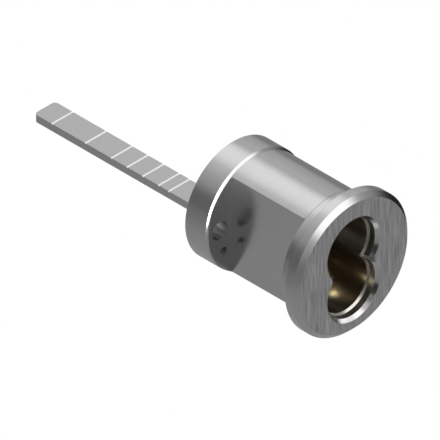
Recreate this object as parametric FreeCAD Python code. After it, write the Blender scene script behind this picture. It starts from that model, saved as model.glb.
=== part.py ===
import FreeCAD, Part
import math
import os
from FreeCAD import Vector

# The housing of a rim cylinder lock, which takes an interchangeable core of figure-eight section.
# Sizes are in millimetres. Y runs along the cylinder's axis from front to rear, and Z is up.
# The origin lies on the axis, in the plane where the rear of the head seats on the door.

# Head, the flange that shows on the outside of the door
head_radius = 17.53
head_thickness = 3.60
head_chamfer = 1.165
edge_break = 0.12

# Front land and rear collar, the two full-size bands that guide the cylinder in its hole
guide_radius = 14.70
land_length = 3.55
runout_radius = 1.6
runout_drop = 0.50
collar_front = 26.20
collar_chamfer = 0.70
body_rear = 33.18

# Relieved barrel between the bands, turned a little off the axis, with a flat on its left
barrel_radius = 14.44
barrel_offset = 0.21
flat_offset = 7.25

# Figure-eight socket for the core, with a wider mouth that is chamfered at both ends
socket_radius = 6.80
socket_spacing = 10.48
socket_middle = -0.94
socket_floor = 27.00
mouth_radius = 7.25
mouth_chamfer = 0.80
mouth_depth = 2.30
waist_blunt = 0.38
waist_half_height = 1.20

# Recess in the left waist of the socket, where the core's control lug locks
lug_front = 4.40
lug_length = 4.20
lug_reach = 8.30
lug_start_angle = 110.0
lug_sweep = 32.0

# Driver that turns in the floor of the lower lobe
floor_thickness = 1.40
hub_radius = 5.15
flange_radius = 7.00
flange_space = 2.80
boss_radius = 4.40
boss_proud = 2.50
running_gap = 0.05
flange_gap = 0.15
end_play = 0.05

# Plate that holds the driver in, let into the rear face, and its two screws
plate_radius = 7.60
plate_ear_radius = 2.40
plate_gap = 0.10
plate_screw_offset = 9.90
plate_screw_rise = 0.25
screw_radius = 0.98
screw_head_radius = 1.85
screw_length = 5.20
screw_slot_width = 0.50
screw_slot_depth = 0.45
thread_gap = 0.02

# Threaded holes in the collar for the two screws that clamp the cylinder to the door
mounting_hole_radius = 2.25
mounting_hole_offset = 11.10

# Drive pins, pressed into the driver, which enter the core's two rear holes
drive_pin_radius = 1.25
drive_pin_offset = 2.50
drive_pin_reach = 4.00
drive_pin_seat = 2.00
drive_pin_tip = 0.40

# Tailpiece, a flat bar scored across so that it can be snapped to length
tail_width = 6.35
tail_thickness = 1.95
tail_tip = 90.63
tail_corner = 1.00
tail_seat = 5.60
slot_gap = 0.05
first_score = 49.53
score_steps = [3.10, 4.80, 4.80, 4.80, 7.90, 10.20]
score_width = 0.66
score_depth = 0.22

# Cross pin that holds the tailpiece in the driver
cross_pin_radius = 0.75
cross_pin_inset = 1.15
cross_pin_short = 0.35
press_gap = 0.01

axis = Vector(0, 1, 0)
front_face = -head_thickness
upper_axis = socket_middle + socket_spacing / 2
plug_axis = socket_middle - socket_spacing / 2
floor_rear = socket_floor + floor_thickness
plate_front = floor_rear + flange_space
plate_thickness = body_rear - plate_front
boss_rear = body_rear + boss_proud
plate_screw_height = plug_axis + plate_screw_rise
slot_floor = boss_rear - tail_seat
beyond = 5.0


def at(radius, y):
    """A point of a turned profile: its distance from the axis and its place along it."""
    return Vector(radius, y, 0)


def line(start, end):
    return Part.LineSegment(start, end).toShape()


def chain(points):
    """Straight edges from each point to the next."""
    return [line(start, end) for start, end in zip(points, points[1:])]


def turned(edges):
    """The solid that a closed profile sweeps about the cylinder's axis."""
    return Part.Face(Part.Wire(edges)).revolve(Vector(0, 0, 0), axis, 360)


def rod(radius, start, end, x=0.0, z=0.0):
    """A round bar along the axis from one depth to another."""
    return Part.makeCylinder(radius, end - start, Vector(x, start, z), axis)


def block(low, high):
    """A block from its lowest corner to its highest."""
    return Part.makeBox(high[0] - low[0], high[1] - low[1], high[2] - low[2], Vector(*low))


def head_and_land():
    """The head and the front land, with the tool's run-out curving down into the barrel."""
    runout_low = guide_radius - runout_drop
    centre_radius = runout_low + runout_radius
    runout_length = math.sqrt(runout_radius**2 - (runout_radius - runout_drop) ** 2)
    runout_end = land_length + runout_length
    half_turn = math.atan2(runout_length, runout_radius - runout_drop) / 2
    middle = at(
        centre_radius - runout_radius * math.cos(half_turn),
        runout_end - runout_radius * math.sin(half_turn),
    )
    outer = chain(
        [
            at(0, front_face),
            at(head_radius - head_chamfer, front_face),
            at(head_radius, front_face + head_chamfer),
            at(head_radius, -edge_break),
            at(head_radius - edge_break, 0),
            at(guide_radius, 0),
            at(guide_radius, land_length),
        ]
    )
    runout = Part.Arc(at(guide_radius, land_length), middle, at(runout_low, runout_end)).toShape()
    inner = chain([at(runout_low, runout_end), at(0, runout_end), at(0, front_face)])
    return turned(outer + [runout] + inner)


def collar():
    """The rear collar, chamfered at its front edge."""
    return turned(
        chain(
            [
                at(0, collar_front),
                at(guide_radius - collar_chamfer, collar_front),
                at(guide_radius, collar_front + collar_chamfer),
                at(guide_radius, body_rear - edge_break),
                at(guide_radius - edge_break, body_rear),
                at(0, body_rear),
                at(0, collar_front),
            ]
        )
    )


def flat():
    """The metal milled away on the left of the barrel."""
    reach = head_radius
    return block((-reach, land_length, -reach), (-flat_offset, collar_front, reach))


def waist_half_width(radius):
    """How far from the middle the two lobes' edges meet, with the sharp ridge blunted."""
    return math.sqrt(radius**2 - (socket_spacing / 2) ** 2) + waist_blunt


def figure_eight(front_radius, rear_radius, start, end):
    """Two equal lobes joined at a blunted waist, straight or tapering from front to rear."""
    lobes = []
    for height in (upper_axis, plug_axis):
        if front_radius == rear_radius:
            lobes.append(rod(front_radius, start, end, z=height))
        else:
            place = Vector(0, start, height)
            lobes.append(Part.makeCone(front_radius, rear_radius, end - start, place, axis))
    low = socket_middle - waist_half_height
    high = socket_middle + waist_half_height
    wide = waist_half_width(front_radius)
    narrow = waist_half_width(rear_radius)
    waist = Part.makeWedge(-wide, start, low, low, -narrow, wide, end, high, high, narrow)
    return lobes[0].fuse([lobes[1], waist])


def socket():
    """The bore for the core and its stepped mouth, running out in front of the face."""
    outside = front_face - mouth_chamfer
    chamfer_end = front_face + mouth_chamfer
    mouth_floor = front_face + mouth_depth
    bore_start = mouth_floor + mouth_radius - socket_radius
    return [
        figure_eight(mouth_radius + 2 * mouth_chamfer, mouth_radius, outside, chamfer_end),
        figure_eight(mouth_radius, mouth_radius, outside, mouth_floor),
        figure_eight(mouth_radius, socket_radius, mouth_floor, bore_start),
        figure_eight(socket_radius, socket_radius, outside, socket_floor),
    ]


def lug_recess():
    """A ring sector about the plug's axis, which opens into the socket's left waist."""
    centre = Vector(0, 0, plug_axis)
    inner = socket_radius / 2
    lug_rear = lug_front + lug_length
    corners = [
        Vector(inner, lug_front, plug_axis),
        Vector(lug_reach, lug_front, plug_axis),
        Vector(lug_reach, lug_rear, plug_axis),
        Vector(inner, lug_rear, plug_axis),
        Vector(inner, lug_front, plug_axis),
    ]
    face = Part.Face(Part.Wire(chain(corners)))
    face.rotate(centre, axis, -lug_start_angle)
    return face.revolve(centre, axis, -lug_sweep)


def plate_outline(grow=0.0):
    """A disc about the plug's axis with an ear on each side, joined by straight tangents."""
    disc = plate_radius + grow
    ear = plate_ear_radius + grow
    reach = math.hypot(plate_screw_offset, plate_screw_rise)
    lean = math.asin((disc - ear) / reach)
    tilt = math.atan2(plate_screw_rise, plate_screw_offset)

    def point(side, x, up):
        return Vector(side * x, 0, plug_axis + up)

    def touch(side, circle, x, up, turn):
        """Where the tangent above (turn 1) or below (turn -1) touches a circle."""
        angle = tilt + turn * (math.pi / 2 - lean)
        return point(side, x + circle * math.cos(angle), up + circle * math.sin(angle))

    def around_ear(side):
        """From the disc's upper touching point, round the ear, to the disc's lower one."""
        x, up = plate_screw_offset, plate_screw_rise
        far = point(side, x + ear * math.cos(tilt), up + ear * math.sin(tilt))
        ear_top = touch(side, ear, x, up, 1)
        ear_low = touch(side, ear, x, up, -1)
        return [
            line(touch(side, disc, 0, 0, 1), ear_top),
            Part.Arc(ear_top, far, ear_low).toShape(),
            line(ear_low, touch(side, disc, 0, 0, -1)),
        ]

    def around_disc(turn):
        """The disc's own arc between its two sides, over the top (turn 1) or underneath (-1)."""
        middle = point(1, 0, turn * disc)
        return Part.Arc(touch(1, disc, 0, 0, turn), middle, touch(-1, disc, 0, 0, turn)).toShape()

    edges = around_ear(1) + around_ear(-1) + [around_disc(1), around_disc(-1)]
    return Part.Face(Part.Wire(Part.sortEdges(edges)[0]))


def plate_blank(start, end, grow=0.0):
    face = plate_outline(grow)
    face.translate(Vector(0, start, 0))
    return face.extrude(axis * (end - start))


def both_sides(offset, make):
    """The same thing made at equal distances to the right and to the left."""
    return [make(offset), make(-offset)]


def housing():
    """The head, land, barrel and collar in one piece, with every bore in it."""
    barrel = rod(barrel_radius, front_face / 2, collar_front + collar_chamfer, z=-barrel_offset)
    body = head_and_land().fuse([barrel, collar()]).removeSplitter()
    bores = [
        flat(),
        lug_recess(),
        rod(hub_radius + running_gap, socket_floor - beyond, plate_front, z=plug_axis),
        rod(flange_radius + flange_gap, floor_rear, plate_front, z=plug_axis),
        plate_blank(plate_front, body_rear + beyond, plate_gap),
    ]
    bores += socket()
    start = collar_front - beyond
    end = body_rear + beyond
    for x in (plate_screw_offset, -plate_screw_offset):
        bores.append(rod(screw_radius + thread_gap, start, end, x, plate_screw_height))
    for x in (mounting_hole_offset, -mounting_hole_offset):
        bores.append(rod(mounting_hole_radius, start, end, x))
    return body.cut(bores)


def screw_head(x, grow=0.0):
    """A countersunk head, flush with the plate's rear face."""
    depth = screw_head_radius - screw_radius
    return Part.makeCone(
        screw_radius + grow,
        screw_head_radius + grow,
        depth,
        Vector(x, body_rear - depth, plate_screw_height),
        axis,
    )


def retainer_plate():
    plate = plate_blank(plate_front, body_rear)
    holes = [rod(boss_radius + flange_gap, plate_front, body_rear, z=plug_axis)]
    for x in (plate_screw_offset, -plate_screw_offset):
        holes.append(rod(screw_radius + plate_gap, plate_front, body_rear, x, plate_screw_height))
        holes.append(screw_head(x, thread_gap))
    return plate.cut(holes)


def retainer_screw(x):
    """A slotted countersunk screw."""
    height = plate_screw_height
    shank = rod(screw_radius, body_rear - screw_length, body_rear - edge_break, x, height)
    half_slot = screw_slot_width / 2
    reach = screw_head_radius + edge_break
    slot = block(
        (x - reach, body_rear - screw_slot_depth, height - half_slot),
        (x + reach, body_rear + edge_break, height + half_slot),
    )
    return shank.fuse(screw_head(x)).removeSplitter().cut(slot)


def drive_pin(x):
    """A round pin with a tapered tip."""
    tip = socket_floor - drive_pin_reach
    body = rod(drive_pin_radius, tip + drive_pin_tip, socket_floor + drive_pin_seat, x, plug_axis)
    taper = Part.makeCone(
        drive_pin_radius - drive_pin_tip,
        drive_pin_radius,
        drive_pin_tip,
        Vector(x, tip, plug_axis),
        axis,
    )
    return body.fuse(taper)


def cross_pin(grow=0.0):
    half = math.sqrt(boss_radius**2 - cross_pin_radius**2) - cross_pin_short
    half += beyond if grow else 0.0
    start = Vector(0, boss_rear - cross_pin_inset, plug_axis - half)
    return Part.makeCylinder(cross_pin_radius + grow, 2 * half, start, Vector(0, 0, 1))


def tailpiece_driver():
    """A hub through the socket's floor, a flange behind it and a slotted boss for the tailpiece."""
    hub = rod(hub_radius, socket_floor, floor_rear + end_play, z=plug_axis)
    flange = rod(flange_radius, floor_rear + end_play, plate_front - end_play, z=plug_axis)
    boss = rod(boss_radius, plate_front - end_play, boss_rear, z=plug_axis)
    width = tail_width / 2 + slot_gap
    height = tail_thickness / 2 + slot_gap
    slot = block(
        (-width, slot_floor, plug_axis - height),
        (width, boss_rear + beyond, plug_axis + height),
    )
    cuts = [slot, cross_pin(press_gap)]
    cuts += both_sides(
        drive_pin_offset,
        lambda x: rod(
            drive_pin_radius + press_gap,
            socket_floor - beyond,
            socket_floor + drive_pin_seat,
            x,
            plug_axis,
        ),
    )
    return hub.fuse([flange, boss]).cut(cuts)


def score_groove(y):
    """A shallow V across the tailpiece's upper face."""
    face_height = plug_axis + tail_thickness / 2
    edge = -tail_width / 2 - beyond
    wide = score_width / 2 * (1 + edge_break / score_depth)
    corners = [
        Vector(edge, y - wide, face_height + edge_break),
        Vector(edge, y, face_height - score_depth),
        Vector(edge, y + wide, face_height + edge_break),
        Vector(edge, y - wide, face_height + edge_break),
    ]
    return Part.Face(Part.Wire(chain(corners))).extrude(Vector(-2 * edge, 0, 0))


def tailpiece():
    """The flat bar, rounded at its tip's corners and scored across its upper face."""
    half = tail_width / 2
    low = plug_axis - tail_thickness / 2
    bar = block((-half, slot_floor + slot_gap, low), (half, tail_tip, low + tail_thickness))
    tip_corners = [
        edge
        for edge in bar.Edges
        if edge.BoundBox.YMin > tail_tip - tail_corner and edge.BoundBox.ZLength > tail_thickness / 2
    ]
    bar = bar.makeFillet(tail_corner, tip_corners)
    cuts = [cross_pin(press_gap), score_groove(first_score)]
    y = first_score
    for step in score_steps:
        y += step
        cuts.append(score_groove(y))
    return bar.cut(cuts)


parts = {
    "housing": housing(),
    "retainer_plate": retainer_plate(),
    "retainer_screws": Part.makeCompound(both_sides(plate_screw_offset, retainer_screw)),
    "tailpiece_driver": tailpiece_driver(),
    "drive_pins": Part.makeCompound(both_sides(drive_pin_offset, drive_pin)),
    "tailpiece": tailpiece(),
    "tailpiece_pin": cross_pin(),
}

os.makedirs("parts", exist_ok=True)
for name, shape in parts.items():
    solids = shape.Solids
    if not solids or not shape.isValid():
        raise ValueError(name + " is not a valid solid")
    shape.exportStep("parts/" + name + ".step")
    print(name, len(solids), "solid(s),", round(shape.Volume, 1), "cubic mm")
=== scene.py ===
"""Finish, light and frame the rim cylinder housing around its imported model."""

import math

import bmesh
import bpy
from bpy.props import FloatProperty, FloatVectorProperty, PointerProperty
from mathutils import Matrix, Vector


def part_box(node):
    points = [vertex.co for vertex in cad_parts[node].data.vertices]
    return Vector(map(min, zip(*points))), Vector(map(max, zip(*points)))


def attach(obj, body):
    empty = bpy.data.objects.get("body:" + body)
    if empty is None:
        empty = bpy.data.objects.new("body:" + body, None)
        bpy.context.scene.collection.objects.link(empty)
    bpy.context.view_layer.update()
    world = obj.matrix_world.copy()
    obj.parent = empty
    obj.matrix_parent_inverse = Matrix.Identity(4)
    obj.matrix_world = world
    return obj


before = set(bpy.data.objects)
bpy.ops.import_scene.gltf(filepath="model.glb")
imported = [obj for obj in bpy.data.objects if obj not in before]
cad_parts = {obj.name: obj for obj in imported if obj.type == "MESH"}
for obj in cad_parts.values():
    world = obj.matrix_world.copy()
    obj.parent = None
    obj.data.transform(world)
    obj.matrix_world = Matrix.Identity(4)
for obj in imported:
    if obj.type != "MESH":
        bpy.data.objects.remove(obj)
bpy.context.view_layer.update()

bl_info = {
    "name": "Rim cylinder housing",
    "version": (1, 0, 0),
    "blender": (4, 5, 0),
    "location": "View3D > Sidebar > Cylinder",
    "description": "Finish, screw thread, light and camera for a rim cylinder housing",
    "category": "Object",
}

MM = 0.001

# A Mix node's colour sockets, by index because its other kinds have the same names
MIX_COLOR_A = 6
MIX_COLOR_B = 7
MIX_COLOR_RESULT = 2

HOUSING_LOW, HOUSING_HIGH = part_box("housing")
TAIL_LOW, TAIL_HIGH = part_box("tailpiece")

# Where the housing's surfaces lie: the lower lobe's axis, the front face, the socket and its mouth,
# the milled flat and the collar
PLUG_AXIS = (TAIL_LOW.z + TAIL_HIGH.z) / 2
FRONT_FACE = HOUSING_LOW.y
SOCKET_RADIUS = 6.80 * MM
LOBE_SPACING = 10.48 * MM
MOUTH_RADIUS = 7.25 * MM
MOUTH_WALL_FRONT = FRONT_FACE + 0.78 * MM
MOUTH_STEP_FRONT = FRONT_FACE + 2.29 * MM
MOUTH_STEP_REAR = FRONT_FACE + 2.73 * MM
FLAT_OFFSET = -7.25 * MM
FLAT_START = 3.56 * MM
COLLAR_FRONT = 26.20 * MM

# How near a plane, and how far past the lobes' radius, a point still counts as on them
ON_PLANE = 0.02 * MM
PAST_LOBE = 0.05 * MM

# Heights over the lower lobe's axis between which the brass turns lighter and greyer, high in the
# socket and along its bottom, and between which a painted highlight makes the mouth's step brighter
GREY_HIGH = (3 * MM, 8 * MM)
GREY_BOTTOM = (-6.3 * MM, -6.8 * MM)
STEP_PAINTED_HIGHLIGHT = (-4 * MM, -6.5 * MM)

# How much the painted highlight brightens the step's lower end against its own colour, and how much
# painted shade darkens the collar's front face and the thread against the plate's colour
STEP_HIGHLIGHT_SHARE = 1.7
COLLAR_PAINTED_SHADE = 0.70
THREAD_PAINTED_SHADE = 0.25

# How far a colour or roughness varies to either side: the plate's blotches, the face's brush lines,
# the barrel's turning lines, and the tint and gloss of the smaller pieces
BLOTCH_VARIATION = 0.04
BRUSH_VARIATION = 0.95
TURNING_VARIATION = 0.03
TINT_VARIATION = 0.07
GLOSS_VARIATION = 0.04

# The turning lines round the barrel and the fine lines on the smaller pieces, and how strongly and
# how deep lines are embossed
TURNING_ALONG = (0.3, 0.0, 0.3)
TURNING_LENGTH = 40 * MM
FINE_SPACING = 0.15 * MM
FINE_LENGTH = 6 * MM
HOUSING_BUMP = 0.15
FINE_BUMP = 0.10
BUMP_DEPTH = 0.01 * MM

# Painted reflections on the chamfer round the socket's mouth, dark and bright patches that stand in
# for what the chamfer mirrors: where each is across and up, how far it reaches, and how bright the
# plate is painted there. A patch has its full shade within the core of its reach.
REFLECTION_CORE = 0.4
MOUTH_PAINTED_REFLECTIONS = (
    (4.89 * MM, 10.12 * MM, 2.4 * MM, 0.28),
    (6.71 * MM, 0.73 * MM, 2.0 * MM, 0.20),
    (5.82 * MM, -1.29 * MM, 1.8 * MM, 0.34),
    (4.60 * MM, -12.20 * MM, 2.6 * MM, 0.45),
    (6.77 * MM, -9.63 * MM, 2.0 * MM, 0.18),
    (7.10 * MM, 7.00 * MM, 1.3 * MM, 1.90),
    (-2.40 * MM, -13.40 * MM, 2.8 * MM, 2.00),
)

# Thread in the small hole beside the flat: where its axis lies from the lower lobe's, where it
# starts and ends, its pitch, the radius of its root and crest, and half their widths
THREAD_OFFSET = -9.90 * MM
THREAD_RISE = 0.25 * MM
THREAD_START = 26.42 * MM
THREAD_END = 27.74 * MM
THREAD_PITCH = 0.44 * MM
THREAD_ROOT = 1.02 * MM
THREAD_CREST = 0.80 * MM
THREAD_HALF_ROOT = 0.42 * THREAD_PITCH
THREAD_HALF_CREST = 0.15 * THREAD_HALF_ROOT
THREAD_STEPS = 36

# Score lines across the tailpiece, with a painted highlight in their cut: how deep they reach, and
# how far the painted highlight keeps from the tailpiece's top and edges, and from its tip
SCORE_DEPTH = 0.25 * MM
SCORE_EDGE = 0.02 * MM
SCORE_TIP = 3 * MM

# The view is isometric, from the front left and above. Then how far off the camera stands, and how
# far it sees.
VIEW_AZIMUTH = math.radians(-45)
VIEW_ELEVATION = math.atan(1 / math.sqrt(2))
CAMERA_DISTANCE = 0.5
CAMERA_REACH = 2.0

# The pale floor: half its width, its colour and roughness, and how far off its mirrored glow has
# faded, in times of its drop
FLOOR_SIZE = 2.0
FLOOR_COLOR = (0.8, 0.8, 0.8, 1.0)
FLOOR_ROUGHNESS = 0.9
FLOOR_FADE = 4

# Soft light panels of the studio: where each lies from the object, the angles within which it is
# full and beyond which it has faded, and how bright it is
LIGHT_PANELS = (
    ("overhead", (0.064, -0.482, 0.874), 29.5, 41.2, 1.80),
    ("top rear core", (0.257, 0.652, 0.714), 10.6, 22.0, 0.90),
    ("top rear", (0.253, 0.508, 0.824), 10.3, 45.9, 0.35),
    ("right", (0.718, 0.631, 0.293), 10.0, 20.8, 0.43),
    ("rear left", (-0.416, 0.468, 0.780), 9.2, 34.3, 0.38),
    ("right front", (0.670, -0.640, 0.376), 3.4, 39.1, 0.29),
    ("left front", (-0.462, -0.736, 0.494), 2.7, 34.5, 0.33),
    ("rear", (0.330, 0.900, 0.280), 8.0, 20.0, 1.00),
)

# A black flag to the right of the object, which darkens the head's right edge: where it lies, the
# angles within which it is full and beyond which it has faded, and how much light it takes away
FLAG_PLACE = (0.962, 0.090, -0.258)
FLAG_INNER = 12.0
FLAG_OUTER = 32.0
FLAG_SHARE = 0.95

# A small strip lamp beside the barrel on the left, which lights the collar's chamfer
STRIP_CENTRE = (-0.0213, 0.0113, 0.0105)
STRIP_ALONG = (-0.566, 0.048, -0.823)
STRIP_AIM = (-0.0115, 0.0265, 0.0085)
STRIP_LENGTH = 31 * MM
STRIP_WIDTH = 9 * MM
STRIP_SPREAD = math.radians(90)

# Tiny lamps in the socket and before its mouth, which make the glints there: where each is, the
# point that it shines on, how wide it is, its power in watts, how many degrees its beam spreads and
# its colour
WARM = (1.0, 0.9, 0.62)
WHITE = (1.0, 1.0, 1.0)
SOCKET_LAMPS = (
    ("socket", (0.0029, 0.0099, -0.00545), (0.0025, 0.0048, -0.0125), 0.8 * MM, 1.3e-5, 180, WARM),
    ("waist", (-0.004, 0.006, -0.0108), (0.007, -0.002, -0.0081), 1.2 * MM, 1.9e-5, 180, WARM),
    ("mouth", (0.0026, -0.005, -0.0116), (-0.0029, -0.0032, -0.013), 1.5 * MM, 6e-7, 60, WHITE),
)


def color_setting(name, description, default):
    return FloatVectorProperty(
        name=name,
        description=description,
        subtype="COLOR",
        size=3,
        min=0.0,
        max=1.0,
        default=default,
    )


def roughness_setting(name, description, default):
    return FloatProperty(
        name=name, description=description, subtype="FACTOR", min=0.0, max=1.0, default=default
    )


def length_setting(name, description, default):
    return FloatProperty(name=name, description=description, unit="LENGTH", default=default)


def glow_setting(name, description, default):
    return FloatProperty(name=name, description=description, min=0.0, default=default)


class CylinderFinish(bpy.types.PropertyGroup):
    """Colours and surface finish of the cylinder's metals."""

    plating_color: color_setting("Plating", "Colour of the satin nickel plate", (0.50, 0.50, 0.50))
    brass_color: color_setting(
        "Brass", "Colour of the bare brass in the socket and of the driver", (0.56, 0.47, 0.34)
    )
    # A lighter, greyer colour that the brass in the socket takes high up and along its bottom
    grey_brass_color: color_setting(
        "Tarnish",
        "Colour of the dulled brass high in the socket and along its bottom",
        (0.78, 0.76, 0.73),
    )
    mouth_color: color_setting(
        "Socket mouth", "Colour of the step where the socket's mouth narrows", (0.27, 0.265, 0.245)
    )
    wall_color: color_setting(
        "Mouth wall",
        "Colour of the wall between the mouth's outer chamfer and its step",
        (0.52, 0.51, 0.47),
    )
    steel_color: color_setting("Steel", "Colour of the pins and screws", (0.48, 0.48, 0.49))
    # Painted highlight: the colour that makes the score lines' cut brighter than the tailpiece's top
    score_highlight_color: color_setting(
        "Score lines", "Colour of the score lines cut across the tailpiece", (0.58, 0.58, 0.58)
    )
    satin_roughness: roughness_setting("Satin roughness", "Roughness of the plated outside", 0.25)
    flat_roughness: roughness_setting("Flat roughness", "Roughness of the milled flat", 0.19)
    bore_roughness: roughness_setting(
        "Bore roughness", "Roughness of the bare brass inside the socket", 0.24
    )
    wall_roughness: roughness_setting(
        "Mouth wall roughness", "Roughness of the wall of the socket's mouth", 0.30
    )
    face_roughness: roughness_setting(
        "Brushed roughness", "Roughness of the brushed front face", 0.42
    )
    brush_spacing: length_setting(
        "Brush spacing", "Distance between the brush lines on the front face", 0.35 * MM
    )
    turning_spacing: length_setting(
        "Turning spacing", "Distance between the turning lines round the barrel", 0.12 * MM
    )


class CylinderStudio(bpy.types.PropertyGroup):
    """Camera, floor and light."""

    frame_width: length_setting("Frame width", "Width of the camera's square frame", 94.83 * MM)
    frame_left: length_setting(
        "Frame shift left",
        "How far left of the front face's centre the frame's centre lies",
        28.815 * MM,
    )
    frame_up: length_setting(
        "Frame shift up",
        "How far above the front face's centre the frame's centre lies",
        9.970 * MM,
    )
    floor_drop: length_setting(
        "Floor drop", "How far the floor lies below the cylinder's axis", 0.12
    )
    surround_level: glow_setting(
        "Surround", "Brightness of the studio round the light panels", 0.196
    )
    floor_near: glow_setting(
        "Floor glow below", "Brightness that the metal mirrors from the floor under it", 0.42
    )
    floor_far: glow_setting(
        "Floor glow far off", "Brightness that the metal mirrors from the floor far away", 0.29
    )
    strip_power: FloatProperty(
        name="Strip lamp",
        description="Power of the strip lamp that lights the collar's chamfer",
        unit="POWER",
        default=0.0021,
    )


def finish():
    return bpy.context.scene.cylinder_finish


def studio():
    return bpy.context.scene.cylinder_studio


def add(tree, kind, **values):
    """A new node with its inputs and properties set by name."""
    node = tree.nodes.new(kind)
    for name, value in values.items():
        if name in node.inputs:
            node.inputs[name].default_value = value
        else:
            setattr(node, name, value)
    return node


def math_node(tree, operation, first, second=None):
    """The result of a sum on one or two values, each a number or a socket."""
    node = add(tree, "ShaderNodeMath", operation=operation)
    for socket, value in zip(node.inputs, (first, second)):
        if isinstance(value, bpy.types.NodeSocket):
            tree.links.new(value, socket)
        elif value is not None:
            socket.default_value = value
    return node.outputs[0]


def ramp(tree, value, low, high):
    """0 at low and beyond it, 1 at high and beyond it, and smooth between. low may be the larger."""
    node = add(tree, "ShaderNodeMapRange", interpolation_type="SMOOTHSTEP")
    tree.links.new(value, node.inputs["Value"])
    node.inputs["From Min"].default_value = low
    node.inputs["From Max"].default_value = high
    return node.outputs["Result"]


def new_group(name, inputs, outputs):
    """An empty node group with named float, vector or colour sockets."""
    group = bpy.data.node_groups.new(name, "ShaderNodeTree")
    for label, kind, default in inputs:
        socket = group.interface.new_socket(label, in_out="INPUT", socket_type=kind)
        if default is not None:
            socket.default_value = default
    for label, kind in outputs:
        group.interface.new_socket(label, in_out="OUTPUT", socket_type=kind)
    return group, group.nodes.new("NodeGroupInput"), group.nodes.new("NodeGroupOutput")


def grain_group():
    """Fine parallel lines: long along two axes and short along the third."""
    group, given, made = new_group(
        "parallel_lines",
        [
            ("Vector", "NodeSocketVector", None),
            ("Across", "NodeSocketVector", (1.0, 0.0, 0.0)),
            ("Along", "NodeSocketVector", (0.0, 0.0, 1.0)),
            ("Spacing", "NodeSocketFloat", 0.35 * MM),
            ("Length", "NodeSocketFloat", 8.0 * MM),
        ],
        [("Lines", "NodeSocketFloat")],
    )
    parts = []
    for axis, size in (("Across", "Spacing"), ("Along", "Length")):
        dot = add(group, "ShaderNodeVectorMath", operation="DOT_PRODUCT")
        group.links.new(given.outputs["Vector"], dot.inputs[0])
        group.links.new(given.outputs[axis], dot.inputs[1])
        parts.append(math_node(group, "DIVIDE", dot.outputs["Value"], given.outputs[size]))
    joined = add(group, "ShaderNodeCombineXYZ")
    group.links.new(parts[0], joined.inputs["X"])
    group.links.new(parts[1], joined.inputs["Y"])
    noise = add(group, "ShaderNodeTexNoise", Scale=1.0, Detail=3.0, Roughness=0.6)
    group.links.new(joined.outputs[0], noise.inputs["Vector"])
    group.links.new(noise.outputs["Fac"], made.inputs["Lines"])


def blotch_group():
    """Slow, faint variation of a plated surface."""
    group, given, made = new_group(
        "plating_blotches",
        [("Vector", "NodeSocketVector", None), ("Size", "NodeSocketFloat", 4.0 * MM)],
        [("Blotches", "NodeSocketFloat")],
    )
    scaled = add(group, "ShaderNodeVectorMath", operation="DIVIDE")
    size = add(group, "ShaderNodeCombineXYZ")
    for axis in "XYZ":
        group.links.new(given.outputs["Size"], size.inputs[axis])
    group.links.new(given.outputs["Vector"], scaled.inputs[0])
    group.links.new(size.outputs[0], scaled.inputs[1])
    noise = add(group, "ShaderNodeTexNoise", Scale=1.0, Detail=2.0)
    group.links.new(scaled.outputs[0], noise.inputs["Vector"])
    group.links.new(noise.outputs["Fac"], made.inputs["Blotches"])


def place(tree, group, coordinates, **values):
    """A surface effect's pattern, from the group of that name."""
    node = add(tree, "ShaderNodeGroup", node_tree=bpy.data.node_groups[group])
    for name, value in values.items():
        node.inputs[name].default_value = value
    tree.links.new(coordinates, node.inputs["Vector"])
    return node.outputs[0]


def blend_value(tree, factor, low, high):
    """low where factor is 0, high where it is 1. Either may be a number or a socket."""
    node = add(tree, "ShaderNodeMix", data_type="FLOAT")
    tree.links.new(factor, node.inputs["Factor"])
    for socket, value in ((node.inputs["A"], low), (node.inputs["B"], high)):
        if isinstance(value, bpy.types.NodeSocket):
            tree.links.new(value, socket)
        else:
            socket.default_value = value
    return node.outputs["Result"]


def blend_color(tree, factor, low, high):
    """The same for colours."""
    node = add(tree, "ShaderNodeMix", data_type="RGBA")
    tree.links.new(factor, node.inputs["Factor"])
    for socket, value in ((node.inputs[MIX_COLOR_A], low), (node.inputs[MIX_COLOR_B], high)):
        if isinstance(value, bpy.types.NodeSocket):
            tree.links.new(value, socket)
        else:
            socket.default_value = (*value, 1.0)
    return node.outputs[MIX_COLOR_RESULT]


def shade(color, share):
    """A colour made darker or brighter."""
    return tuple(min(1.0, channel * share) for channel in color)


def new_metal(name):
    """A metal's material with its tree, its shader and the object's coordinates."""
    material = bpy.data.materials.new(name)
    material.use_nodes = True
    tree = material.node_tree
    shader = tree.nodes["Principled BSDF"]
    shader.inputs["Metallic"].default_value = 1.0
    coordinates = add(tree, "ShaderNodeTexCoord").outputs["Object"]
    return material, tree, shader, coordinates


def add_bump(tree, shader, height, strength):
    bump = add(tree, "ShaderNodeBump", Strength=strength, Distance=BUMP_DEPTH)
    tree.links.new(height, bump.inputs["Height"])
    tree.links.new(bump.outputs["Normal"], shader.inputs["Normal"])


def new_piece(name, shape):
    """A new object of a bmesh, which is freed."""
    mesh = bpy.data.meshes.new(name)
    shape.to_mesh(mesh)
    shape.free()
    piece = bpy.data.objects.new(name, mesh)
    bpy.context.scene.collection.objects.link(piece)
    return piece


def assign(node, material):
    """Give a model node its material."""
    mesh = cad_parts[node].data
    mesh.materials.clear()
    mesh.materials.append(material)


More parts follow.
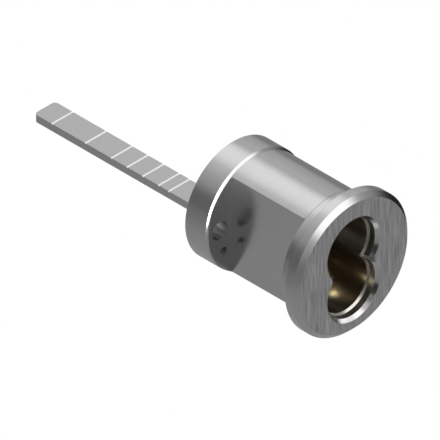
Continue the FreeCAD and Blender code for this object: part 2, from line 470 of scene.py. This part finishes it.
def housing_material():
    """Satin plate outside, lines brushed up and down on the face, bare brass in the socket."""
    looks = finish()
    material, tree, shader, coordinates = new_metal("satin_plated_brass")
    axes = add(tree, "ShaderNodeSeparateXYZ")
    tree.links.new(coordinates, axes.inputs[0])
    brush = place(tree, "parallel_lines", coordinates, Spacing=looks.brush_spacing)
    turning = place(
        tree,
        "parallel_lines",
        coordinates,
        Across=(0.0, 1.0, 0.0),
        Along=TURNING_ALONG,
        Spacing=looks.turning_spacing,
        Length=TURNING_LENGTH,
    )
    on_face = math_node(tree, "LESS_THAN", axes.outputs["Y"], FRONT_FACE + ON_PLANE)
    on_wall = within_lobes(tree, axes, MOUTH_RADIUS, MOUTH_WALL_FRONT, MOUTH_STEP_FRONT)
    in_socket = within_lobes(tree, axes, SOCKET_RADIUS, MOUTH_STEP_REAR, HOUSING_HIGH.y)

    color = plated_color(tree, axes, coordinates, on_face, brush)
    color = blend_color(tree, on_wall, color, looks.wall_color)
    color = blend_color(tree, in_socket, step_color(tree, axes, color), brass_color(tree, axes))
    tree.links.new(color, shader.inputs["Base Color"])

    satin = looks.satin_roughness
    roughness = blend_value(tree, turning, satin - TURNING_VARIATION, satin + TURNING_VARIATION)
    roughness = blend_value(tree, flat_mask(tree, axes), roughness, looks.flat_roughness)
    roughness = blend_value(tree, on_face, roughness, looks.face_roughness)
    roughness = blend_value(tree, in_socket, roughness, looks.bore_roughness)
    roughness = blend_value(tree, on_wall, roughness, looks.wall_roughness)
    tree.links.new(roughness, shader.inputs["Roughness"])

    add_bump(tree, shader, blend_value(tree, on_face, turning, brush), HOUSING_BUMP)
    return material


def varied(tree, factor, color, variation):
    """A colour that a pattern makes darker and brighter by the same share."""
    return blend_color(tree, factor, shade(color, 1 - variation), shade(color, 1 + variation))


def plated_color(tree, axes, coordinates, on_face, brush):
    """The outside: blotched plate with painted reflections on the mouth's chamfer, and a brushed
    face.
    """
    plate = finish().plating_color
    blotches = place(tree, "plating_blotches", coordinates)
    outside = paint_mouth_reflections(tree, coordinates, varied(tree, blotches, plate, BLOTCH_VARIATION))
    outside = blend_color(tree, on_face, outside, varied(tree, brush, plate, BRUSH_VARIATION))
    # Painted shade: the collar's front face is darkened below the plate's colour
    return blend_color(tree, collar_face_mask(tree, axes), outside, shade(plate, COLLAR_PAINTED_SHADE))


def step_color(tree, axes, around):
    """The step where the mouth narrows, with a painted highlight along the bottom, and what is
    around it.
    """
    dark = finish().mouth_color
    step = blend_color(tree, height_ramp(tree, axes, STEP_PAINTED_HIGHLIGHT), dark, shade(dark, STEP_HIGHLIGHT_SHARE))
    on_step = within_lobes(tree, axes, MOUTH_RADIUS, MOUTH_STEP_FRONT, MOUTH_STEP_REAR)
    return blend_color(tree, on_step, around, step)


def brass_color(tree, axes):
    """The bare brass in the socket, lighter and greyer high up and along the bottom."""
    high, bottom = (height_ramp(tree, axes, span) for span in (GREY_HIGH, GREY_BOTTOM))
    greyer = math_node(tree, "MAXIMUM", high, bottom)
    return blend_color(tree, greyer, finish().brass_color, finish().grey_brass_color)


def height_ramp(tree, axes, span):
    """0 to 1 between two heights over the lower lobe's axis."""
    start, end = span
    return ramp(tree, axes.outputs["Z"], PLUG_AXIS + start, PLUG_AXIS + end)


def paint_mouth_reflections(tree, coordinates, plating):
    """The plate's colour with painted reflections, dark and bright patches, on the chamfer round the
    socket's mouth.
    """
    # Each painted reflection darkens or brightens the plate round its point
    for across, up, reach, share in MOUTH_PAINTED_REFLECTIONS:
        away = add(tree, "ShaderNodeVectorMath", operation="DISTANCE")
        tree.links.new(coordinates, away.inputs[0])
        away.inputs[1].default_value = (across, (FRONT_FACE + MOUTH_WALL_FRONT) / 2, up)
        near = ramp(tree, away.outputs["Value"], reach, REFLECTION_CORE * reach)
        plating = blend_color(tree, near, plating, shade(finish().plating_color, share))
    return plating


def plane_mask(tree, height, level):
    """1 on a plane."""
    off = math_node(tree, "ABSOLUTE", math_node(tree, "SUBTRACT", height, level))
    return math_node(tree, "LESS_THAN", off, ON_PLANE)


def between(tree, value, start, end):
    """1 between two levels."""
    above = math_node(tree, "GREATER_THAN", value, start)
    return math_node(tree, "MULTIPLY", above, math_node(tree, "LESS_THAN", value, end))


def collar_face_mask(tree, axes):
    """1 on the collar's flat front face, beside the milled flat."""
    beside = math_node(tree, "LESS_THAN", axes.outputs["X"], FLAT_OFFSET)
    return math_node(tree, "MULTIPLY", beside, plane_mask(tree, axes.outputs["Y"], COLLAR_FRONT))


def flat_mask(tree, axes):
    """1 on the milled flat."""
    along = between(tree, axes.outputs["Y"], FLAT_START, COLLAR_FRONT - ON_PLANE)
    return math_node(tree, "MULTIPLY", along, plane_mask(tree, axes.outputs["X"], FLAT_OFFSET))


def within_lobes(tree, axes, radius, start, end):
    """1 on what lies within a radius of the socket's two lobes and between two depths."""
    inside = None
    for lobe in (PLUG_AXIS, PLUG_AXIS + LOBE_SPACING):
        up = math_node(tree, "SUBTRACT", axes.outputs["Z"], lobe)
        square = math_node(
            tree,
            "ADD",
            math_node(tree, "MULTIPLY", axes.outputs["X"], axes.outputs["X"]),
            math_node(tree, "MULTIPLY", up, up),
        )
        near = math_node(tree, "LESS_THAN", square, (radius + PAST_LOBE) ** 2)
        inside = near if inside is None else math_node(tree, "MAXIMUM", inside, near)
    return math_node(tree, "MULTIPLY", inside, between(tree, axes.outputs["Y"], start, end))


def simple_metal(name, color, roughness):
    """A plain metal with fine lines in its gloss."""
    material, tree, shader, coordinates = new_metal(name)
    lines = place(
        tree,
        "parallel_lines",
        coordinates,
        Across=(0.0, 1.0, 0.0),
        Along=(1.0, 0.0, 0.0),
        Spacing=FINE_SPACING,
        Length=FINE_LENGTH,
    )
    tree.links.new(varied(tree, lines, color, TINT_VARIATION), shader.inputs["Base Color"])
    gloss = blend_value(tree, lines, roughness - GLOSS_VARIATION, roughness + GLOSS_VARIATION)
    tree.links.new(gloss, shader.inputs["Roughness"])
    add_bump(tree, shader, lines, FINE_BUMP)
    return material


def paint_score_highlights(steel):
    """Paint a highlight on the score lines cut across the tailpiece, brighter than its top."""
    tree = steel.node_tree
    base = tree.nodes["Principled BSDF"].inputs["Base Color"]
    plated = base.links[0].from_socket
    axes = add(tree, "ShaderNodeSeparateXYZ")
    tree.links.new(add(tree, "ShaderNodeTexCoord").outputs["Object"], axes.inputs[0])
    across = math_node(tree, "ABSOLUTE", axes.outputs["X"])
    inward = math_node(tree, "LESS_THAN", across, TAIL_HIGH.x - SCORE_EDGE)
    before = math_node(tree, "LESS_THAN", axes.outputs["Y"], TAIL_HIGH.y - SCORE_TIP)
    top = TAIL_HIGH.z
    cut = between(tree, axes.outputs["Z"], top - SCORE_DEPTH, top - SCORE_EDGE)
    cut = math_node(tree, "MULTIPLY", cut, math_node(tree, "MULTIPLY", inward, before))
    tree.links.new(blend_color(tree, cut, plated, finish().score_highlight_color), base)


class CYLINDER_OT_effects(bpy.types.Operator):
    """Make the surface effects that the metals share"""

    bl_idname = "cylinder.effects"
    bl_label = "Surface effects"

    def execute(self, context):
        grain_group()
        blotch_group()
        return {"FINISHED"}


def add_thread():
    """The crests of the screw thread that shows in the small hole beside the flat."""
    turns = (THREAD_END - THREAD_START) / THREAD_PITCH
    steps = round(THREAD_STEPS * turns)
    centre = Vector((THREAD_OFFSET, THREAD_START, PLUG_AXIS + THREAD_RISE))
    shape = bmesh.new()
    profile = (
        (THREAD_ROOT, -THREAD_HALF_ROOT),
        (THREAD_CREST, -THREAD_HALF_CREST),
        (THREAD_CREST, THREAD_HALF_CREST),
        (THREAD_ROOT, THREAD_HALF_ROOT),
    )
    corners = [shape.verts.new(centre + Vector((radius, along, 0))) for radius, along in profile]
    face = shape.faces.new(corners)
    bmesh.ops.spin(
        shape,
        geom=[face, *face.edges, *face.verts],
        cent=centre,
        axis=(0, 1, 0),
        dvec=(0, (THREAD_END - THREAD_START) / steps, 0),
        angle=math.tau * turns,
        steps=steps,
    )
    bmesh.ops.holes_fill(shape, edges=shape.edges, sides=len(profile))
    bmesh.ops.recalc_face_normals(shape, faces=shape.faces)
    thread = new_piece("screw_hole_thread", shape)
    # Painted shade: the thread is darkened well below the plate's colour, for the shade in its hole
    color = shade(finish().plating_color, THREAD_PAINTED_SHADE)
    thread.data.materials.append(simple_metal("thread_metal", color, roughness=0.35))
    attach(thread, "cylinder")


class CYLINDER_OT_housing(bpy.types.Operator):
    """Finish the housing in satin plate and bare brass, and thread its small hole"""

    bl_idname = "cylinder.housing"
    bl_label = "Housing"

    def execute(self, context):
        assign("housing", housing_material())
        add_thread()
        return {"FINISHED"}


class CYLINDER_OT_tailpiece(bpy.types.Operator):
    """Finish the tailpiece, its cross pin and the drive pins in steel"""

    bl_idname = "cylinder.tailpiece"
    bl_label = "Tailpiece"

    def execute(self, context):
        looks = finish()
        steel = simple_metal("tailpiece_steel", looks.plating_color, roughness=0.32)
        paint_score_highlights(steel)
        assign("tailpiece", steel)
        pins = simple_metal("pin_steel", looks.steel_color, roughness=0.25)
        assign("tailpiece_pin", pins)
        assign("drive_pins", pins)
        return {"FINISHED"}


class CYLINDER_OT_driver(bpy.types.Operator):
    """Finish the driver in bare turned brass"""

    bl_idname = "cylinder.driver"
    bl_label = "Driver"

    def execute(self, context):
        brass = simple_metal("driver_brass", finish().brass_color, roughness=0.3)
        assign("tailpiece_driver", brass)
        return {"FINISHED"}


class CYLINDER_OT_retainer(bpy.types.Operator):
    """Finish the retainer plate and its screws"""

    bl_idname = "cylinder.retainer"
    bl_label = "Retainer plate"

    def execute(self, context):
        looks = finish()
        plate = simple_metal("plate_brass", looks.plating_color, roughness=0.34)
        assign("retainer_plate", plate)
        screws = simple_metal("screw_steel", looks.steel_color, roughness=0.28)
        assign("retainer_screws", screws)
        return {"FINISHED"}


def view_directions():
    """Unit vectors to the right, up and towards the camera."""
    toward = Vector(
        (
            math.cos(VIEW_ELEVATION) * math.sin(VIEW_AZIMUTH),
            -math.cos(VIEW_ELEVATION) * math.cos(VIEW_AZIMUTH),
            math.sin(VIEW_ELEVATION),
        )
    )
    right = Vector((0, 0, 1)).cross(toward).normalized()
    return right, toward.cross(right), toward


def add_camera():
    """An isometric camera that holds the photograph's frame."""
    setting = studio()
    right, up, toward = view_directions()
    aim = Vector((0, FRONT_FACE, 0)) - setting.frame_left * right + setting.frame_up * up
    data = bpy.data.cameras.new("camera")
    data.type = "ORTHO"
    data.ortho_scale = setting.frame_width
    data.clip_end = CAMERA_REACH
    camera = bpy.data.objects.new("camera", data)
    rotation = Matrix((right, up, toward)).transposed()
    camera.matrix_world = Matrix.Translation(aim + CAMERA_DISTANCE * toward) @ rotation.to_4x4()
    bpy.context.scene.collection.objects.link(camera)
    bpy.context.scene.camera = camera


def nearness(tree, label, direction, place_of, inner, outer):
    """1 in the directions within inner degrees of a place, 0 beyond outer degrees."""
    dot = add(tree, "ShaderNodeVectorMath", operation="DOT_PRODUCT", label=label)
    tree.links.new(direction, dot.inputs[0])
    dot.inputs[1].default_value = Vector(place_of).normalized()
    low, high = (math.cos(math.radians(angle)) for angle in (outer, inner))
    return ramp(tree, dot.outputs["Value"], low, high)


def past_flag(tree, direction, level):
    """The light that the black flag leaves of a level."""
    flag = nearness(tree, "flag", direction, FLAG_PLACE, FLAG_INNER, FLAG_OUTER)
    left = blend_value(tree, flag, 1.0, 1.0 - FLAG_SHARE)
    return math_node(tree, "MULTIPLY", left, level)


def floor_glow(tree, drop):
    """What the metal mirrors of the floor, which its own coordinates place from the cylinder."""
    position = add(tree, "ShaderNodeTexCoord").outputs["Object"]
    distance = add(tree, "ShaderNodeVectorMath", operation="LENGTH")
    heading = add(tree, "ShaderNodeVectorMath", operation="NORMALIZE")
    for node in (distance, heading):
        tree.links.new(position, node.inputs[0])
    far = ramp(tree, distance.outputs["Value"], drop, FLOOR_FADE * drop)
    glow = blend_value(tree, far, studio().floor_near, studio().floor_far)
    return past_flag(tree, heading.outputs[0], glow)


def add_floor():
    """A pale floor that the camera sees as white."""
    drop = studio().floor_drop
    shape = bmesh.new()
    bmesh.ops.create_grid(shape, x_segments=1, y_segments=1, size=FLOOR_SIZE)
    bmesh.ops.translate(shape, verts=shape.verts, vec=(0, 0, -drop))
    floor = new_piece("floor", shape)
    material = bpy.data.materials.new("pale_floor")
    material.use_nodes = True
    tree = material.node_tree
    shader = tree.nodes["Principled BSDF"]
    shader.inputs["Base Color"].default_value = FLOOR_COLOR
    shader.inputs["Roughness"].default_value = FLOOR_ROUGHNESS
    mirrored = add(tree, "ShaderNodeEmission")
    tree.links.new(floor_glow(tree, drop), mirrored.inputs["Strength"])
    white = add(tree, "ShaderNodeEmission", Strength=1.0)
    path = add(tree, "ShaderNodeLightPath")
    surface = shader.outputs[0]
    for ray, seen in (("Is Glossy Ray", mirrored), ("Is Camera Ray", white)):
        mix = add(tree, "ShaderNodeMixShader")
        tree.links.new(path.outputs[ray], mix.inputs[0])
        tree.links.new(surface, mix.inputs[1])
        tree.links.new(seen.outputs[0], mix.inputs[2])
        surface = mix.outputs[0]
    tree.links.new(surface, tree.nodes["Material Output"].inputs["Surface"])
    floor.data.materials.append(material)


def light_studio():
    """A grey studio with soft light panels, and white where the camera looks past the object."""
    world = bpy.data.worlds.new("studio")
    bpy.context.scene.world = world
    world.use_nodes = True
    tree = world.node_tree
    tree.nodes.clear()
    direction = add(tree, "ShaderNodeTexCoord").outputs["Generated"]
    level = studio().surround_level
    for name, place_of, inner, outer, strength in LIGHT_PANELS:
        glow = nearness(tree, name, direction, place_of, inner, outer)
        level = math_node(tree, "ADD", math_node(tree, "MULTIPLY", glow, strength), level)
    level = past_flag(tree, direction, level)
    path = add(tree, "ShaderNodeLightPath")
    seen = blend_value(tree, path.outputs["Is Camera Ray"], level, 1.0)
    background = add(tree, "ShaderNodeBackground", Color=(1.0, 1.0, 1.0, 1.0))
    tree.links.new(seen, background.inputs["Strength"])
    output = add(tree, "ShaderNodeOutputWorld")
    tree.links.new(background.outputs[0], output.inputs["Surface"])


def add_lamp(name, place_of, aim, along, size, power):
    """A flat lamp that shines on a point and that the camera doesn't see."""
    data = bpy.data.lights.new(name, "AREA")
    data.shape = "RECTANGLE"
    data.size, data.size_y = size
    data.energy = power
    lamp = bpy.data.objects.new(name, data)
    centre = Vector(place_of)
    back = (centre - Vector(aim)).normalized()
    along = Vector(along)
    along = (along - along.dot(back) * back).normalized()
    rotation = Matrix((along, back.cross(along), back)).transposed()
    lamp.matrix_world = Matrix.Translation(centre) @ rotation.to_4x4()
    lamp.visible_camera = False
    bpy.context.scene.collection.objects.link(lamp)
    return data


def add_lamps():
    """The strip lamp beside the barrel and the tiny lamps at the socket."""
    size = (STRIP_LENGTH, STRIP_WIDTH)
    strip = add_lamp("strip", STRIP_CENTRE, STRIP_AIM, STRIP_ALONG, size, studio().strip_power)
    strip.spread = STRIP_SPREAD
    for name, place_of, aim, width, power, spread, color in SOCKET_LAMPS:
        data = add_lamp(name, place_of, aim, (0, 0, 1), (width, width), power)
        data.spread = math.radians(spread)
        data.color = color


class CYLINDER_OT_stage(bpy.types.Operator):
    """Set the camera, the floor and the light"""

    bl_idname = "cylinder.stage"
    bl_label = "Stage"

    def execute(self, context):
        add_camera()
        add_floor()
        light_studio()
        add_lamps()
        context.scene.view_settings.view_transform = "Standard"
        return {"FINISHED"}


OPERATORS = (
    CYLINDER_OT_effects,
    CYLINDER_OT_housing,
    CYLINDER_OT_tailpiece,
    CYLINDER_OT_driver,
    CYLINDER_OT_retainer,
    CYLINDER_OT_stage,
)


class CYLINDER_PT_build(bpy.types.Panel):
    """The cylinder's finishes, pieces and stage"""

    bl_idname = "CYLINDER_PT_build"
    bl_label = "Rim cylinder"
    bl_space_type = "VIEW_3D"
    bl_region_type = "UI"
    bl_category = "Cylinder"

    def draw(self, context):
        layout = self.layout
        for group in (context.scene.cylinder_finish, context.scene.cylinder_studio):
            for name in group.bl_rna.properties.keys():
                if name not in {"rna_type", "name"}:
                    layout.prop(group, name)
        for operator in OPERATORS:
            layout.operator(operator.bl_idname)


CLASSES = (CylinderFinish, CylinderStudio, *OPERATORS, CYLINDER_PT_build)


def register():
    for each in CLASSES:
        bpy.utils.register_class(each)
    bpy.types.Scene.cylinder_finish = PointerProperty(type=CylinderFinish)
    bpy.types.Scene.cylinder_studio = PointerProperty(type=CylinderStudio)


def unregister():
    del bpy.types.Scene.cylinder_studio
    del bpy.types.Scene.cylinder_finish
    for each in reversed(CLASSES):
        bpy.utils.unregister_class(each)


def main():
    register()
    bpy.ops.cylinder.effects()
    bpy.ops.cylinder.housing()
    bpy.ops.cylinder.tailpiece()
    bpy.ops.cylinder.driver()
    bpy.ops.cylinder.retainer()
    bpy.ops.cylinder.stage()


if __name__ == "__main__":
    main()
